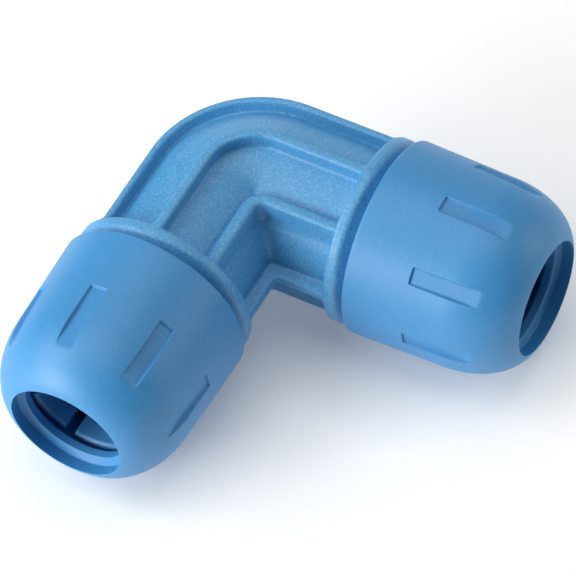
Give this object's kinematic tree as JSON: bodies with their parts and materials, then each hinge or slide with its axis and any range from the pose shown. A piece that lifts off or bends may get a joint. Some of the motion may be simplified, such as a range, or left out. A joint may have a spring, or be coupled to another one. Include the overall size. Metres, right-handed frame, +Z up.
{
  "type": "push to connect fitting",
  "caption": "Equal elbow that joins two compressed-air pipes at a right angle: a ribbed plastic body with a domed screw-down nut, split grip collet and seal at each end.",
  "frame": {"origin": "under the middle of the bounding box, on the surface the fitting lies on", "axes": "+Z up; leg b and its pipe run along +X, leg a and its pipe along -Y; both axes lie 16 mm above the surface"},
  "size_m": [0.0702, 0.0702, 0.032],
  "materials": {
    "body": "satin, finely grained blue moulding",
    "nut": "satin blue moulding",
    "collet": "smooth blue moulding",
    "inner": "smooth darker blue moulding",
    "rubber": "black seal rubber",
    "steel": "stainless strip"
  },
  "bodies": {
    "elbow": {"elbow_body": "body", "seal_ring_a": "rubber", "spacer_a": "inner", "seal_ring_b": "rubber", "spacer_b": "inner"},
    "thrust_a": {"slip_ring_a": "inner"},
    "nut_a": {"nut_a": "nut"},
    "grip_a": {"collet_a": "collet", "tooth_a_1": "steel", "tooth_a_2": "steel", "tooth_a_3": "steel", "tooth_a_4": "steel", "tooth_a_5": "steel", "tooth_a_6": "steel"},
    "thrust_b": {"slip_ring_b": "inner"},
    "nut_b": {"nut_b": "nut"},
    "grip_b": {"collet_b": "collet", "tooth_b_1": "steel", "tooth_b_2": "steel", "tooth_b_3": "steel", "tooth_b_4": "steel", "tooth_b_5": "steel", "tooth_b_6": "steel"}
  },
  "joints": [
    {"name": "nut_a_travel", "type": "slide", "parent": "elbow", "child": "thrust_a", "axis": [0, -1, 0], "range_m": [0, 0.00601]},
    {"name": "nut_a_turn", "type": "hinge", "parent": "thrust_a", "child": "nut_a", "pos_m": [-0.01912, -0.02088, 0.016], "axis": [0, -1, 0], "range_deg": [0, 720]},
    {"name": "collet_a_push", "type": "slide", "parent": "thrust_a", "child": "grip_a", "axis": [0, 1, 0], "range_m": [0, 0.0012]},
    {"name": "nut_b_travel", "type": "slide", "parent": "elbow", "child": "thrust_b", "axis": [1, 0, 0], "range_m": [0, 0.00601]},
    {"name": "nut_b_turn", "type": "hinge", "parent": "thrust_b", "child": "nut_b", "pos_m": [0.02088, 0.01912, 0.016], "axis": [1, 0, 0], "range_deg": [0, 720]},
    {"name": "collet_b_push", "type": "slide", "parent": "thrust_b", "child": "grip_b", "axis": [-1, 0, 0], "range_m": [0, 0.0012]}
  ],
  "couplings": [
    {"joint": "nut_a_travel", "follows": "nut_a_turn", "m_per_rad": 0.00047746},
    {"joint": "nut_b_travel", "follows": "nut_b_turn", "m_per_rad": 0.00047746}
  ]
}
